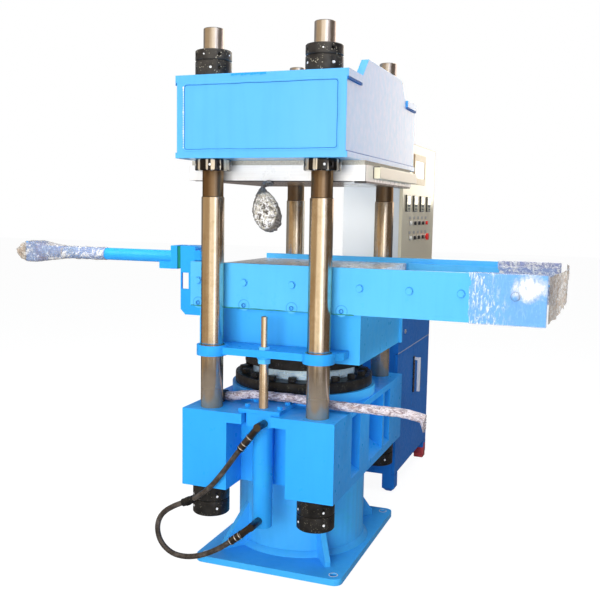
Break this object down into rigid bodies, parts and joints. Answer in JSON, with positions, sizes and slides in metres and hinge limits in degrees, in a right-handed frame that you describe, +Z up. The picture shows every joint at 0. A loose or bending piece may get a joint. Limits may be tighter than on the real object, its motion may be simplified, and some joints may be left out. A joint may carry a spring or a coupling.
{
  "type": "rubber vulcanizing press",
  "caption": "Four-column hydraulic rubber vulcanizing press with heated platens, side rails with mould pusher, lift cylinders and a free-standing control cabinet.",
  "frame": {"origin": "on the floor, on the axis of the main ram, at the centre of the base plate", "axes": "+X towards the side where the mould comes out, +Y towards the rear where the cabinet stands, +Z up"},
  "size_m": [2.9292, 2.309, 2.408],
  "materials": {
    "blue_paint": "glossy sky blue enamel",
    "cabinet_blue": "satin deep blue powder coat",
    "cabinet_pale": "satin beige powder coat",
    "column_steel": "hard chromed, mirror ground",
    "black_steel": "black oxide and oil",
    "platen_steel": "ground steel, lightly rusted",
    "insulation_board": "matt mineral fibre board",
    "cover_paint": "cream enamel",
    "seal_rubber": "matt",
    "bush_bronze": "machined bronze",
    "fitting_steel": "zinc plated",
    "hose_rubber": "matt black brown cover",
    "packing_film": "clear wrinkled stretch film",
    "spacer_green": "dark green primer",
    "panel_plastic": "matt black",
    "bright_chrome": "polished",
    "label_plate": "brushed, bare",
    "button_white": "glossy",
    "button_black": "glossy",
    "button_red": "glossy"
  },
  "bodies": {
    "press_frame": {"cylinder_barrel": "blue_paint", "ram_seal": "seal_rubber", "gland_ring": "black_steel", "gland_bolts": "black_steel", "lower_beam": "blue_paint", "columns": "column_steel", "lower_nuts": "black_steel", "under_nuts": "black_steel", "upper_nuts": "black_steel", "crosshead": "blue_paint", "upper_insulation": "insulation_board", "upper_platen": "platen_steel", "terminal_cover": "cover_paint", "lift_cylinders": "blue_paint", "lift_bolts": "blue_paint", "pressure_hose": "hose_rubber", "wrapped_line": "packing_film", "hose_fittings": "fitting_steel", "cable_bundle": "packing_film", "cabinet_lower": "cabinet_blue", "cabinet_upper": "cabinet_pale"},
    "moving_platen": {"ram": "column_steel", "ram_flange": "black_steel", "moving_block": "blue_paint", "table_plate": "platen_steel", "lower_insulation": "insulation_board", "lower_platen": "platen_steel", "front_rail": "blue_paint", "rear_rail": "blue_paint", "rail_fasteners": "blue_paint", "yokes": "blue_paint", "yoke_bushes": "bush_bronze", "lift_rods": "column_steel", "lift_rod_nuts": "blue_paint", "pusher_bracket": "blue_paint", "pusher_spacer": "spacer_green", "pusher_cylinder": "blue_paint", "protective_film": "packing_film"},
    "pusher": {"pusher_rod": "column_steel", "pusher_head": "blue_paint"},
    "upper_cabinet_door": {"upper_door": "cabinet_pale", "operator_screen": "panel_plastic", "temperature_controllers": "panel_plastic", "button_collars": "bright_chrome", "legend_plates": "label_plate"},
    "near_cabinet_door": {"near_door": "cabinet_blue"},
    "far_cabinet_door": {"far_door": "cabinet_blue", "handle_base": "panel_plastic"},
    "handle": {"door_handle": "bright_chrome"},
    "lock": {"panel_lock": "bright_chrome"},
    "push_button_1": {"push_button_1": "button_white"},
    "push_button_2": {"push_button_2": "button_black"},
    "push_button_3": {"push_button_3": "button_black"},
    "push_button_4": {"push_button_4": "button_black"},
    "push_button_5": {"push_button_5": "button_red"},
    "push_button_6": {"push_button_6": "button_white"},
    "push_button_7": {"push_button_7": "button_black"},
    "push_button_8": {"push_button_8": "button_black"},
    "push_button_9": {"push_button_9": "button_black"},
    "stop_button": {"stop_button": "button_red"}
  },
  "joints": [
    {"name": "platen_lift", "type": "slide", "parent": "press_frame", "child": "moving_platen", "axis": [0, 0, 1], "range_m": [0, 0.33]},
    {"name": "pusher_stroke", "type": "slide", "parent": "moving_platen", "child": "pusher", "axis": [1, 0, 0], "range_m": [0, 0.7]},
    {"name": "upper_door_swing", "type": "hinge", "parent": "press_frame", "child": "upper_cabinet_door", "pos_m": [0.277, 0.812, 1.55], "axis": [0, 0, -1], "range_deg": [0, 100]},
    {"name": "near_door_swing", "type": "hinge", "parent": "press_frame", "child": "near_cabinet_door", "pos_m": [0.277, 0.812, 0.465], "axis": [0, 0, -1], "range_deg": [0, 110]},
    {"name": "far_door_swing", "type": "hinge", "parent": "press_frame", "child": "far_cabinet_door", "pos_m": [0.277, 1.672, 0.465], "axis": [0, 0, 1], "range_deg": [0, 110]},
    {"name": "handle_turn", "type": "hinge", "parent": "far_cabinet_door", "child": "handle", "pos_m": [0.307, 1.22416, 0.732], "axis": [1, 0, 0], "range_deg": [0, 90]},
    {"name": "lock_turn", "type": "hinge", "parent": "press_frame", "child": "lock", "pos_m": [0.277, 0.957, 0.939], "axis": [1, 0, 0], "range_deg": [0, 90]},
    {"name": "press_button_1", "type": "slide", "parent": "upper_cabinet_door", "child": "push_button_1", "axis": [-1, 0, 0], "range_m": [0, 0.004], "stiffness_N_per_m": 400},
    {"name": "press_button_2", "type": "slide", "parent": "upper_cabinet_door", "child": "push_button_2", "axis": [-1, 0, 0], "range_m": [0, 0.004], "stiffness_N_per_m": 400},
    {"name": "press_button_3", "type": "slide", "parent": "upper_cabinet_door", "child": "push_button_3", "axis": [-1, 0, 0], "range_m": [0, 0.004], "stiffness_N_per_m": 400},
    {"name": "press_button_4", "type": "slide", "parent": "upper_cabinet_door", "child": "push_button_4", "axis": [-1, 0, 0], "range_m": [0, 0.004], "stiffness_N_per_m": 400},
    {"name": "press_button_5", "type": "slide", "parent": "upper_cabinet_door", "child": "push_button_5", "axis": [-1, 0, 0], "range_m": [0, 0.004], "stiffness_N_per_m": 400},
    {"name": "press_button_6", "type": "slide", "parent": "upper_cabinet_door", "child": "push_button_6", "axis": [-1, 0, 0], "range_m": [0, 0.004], "stiffness_N_per_m": 400},
    {"name": "press_button_7", "type": "slide", "parent": "upper_cabinet_door", "child": "push_button_7", "axis": [-1, 0, 0], "range_m": [0, 0.004], "stiffness_N_per_m": 400},
    {"name": "press_button_8", "type": "slide", "parent": "upper_cabinet_door", "child": "push_button_8", "axis": [-1, 0, 0], "range_m": [0, 0.004], "stiffness_N_per_m": 400},
    {"name": "press_button_9", "type": "slide", "parent": "upper_cabinet_door", "child": "push_button_9", "axis": [-1, 0, 0], "range_m": [0, 0.004], "stiffness_N_per_m": 400},
    {"name": "press_stop_button", "type": "slide", "parent": "upper_cabinet_door", "child": "stop_button", "axis": [-1, 0, 0], "range_m": [0, 0.004], "stiffness_N_per_m": 600}
  ]
}
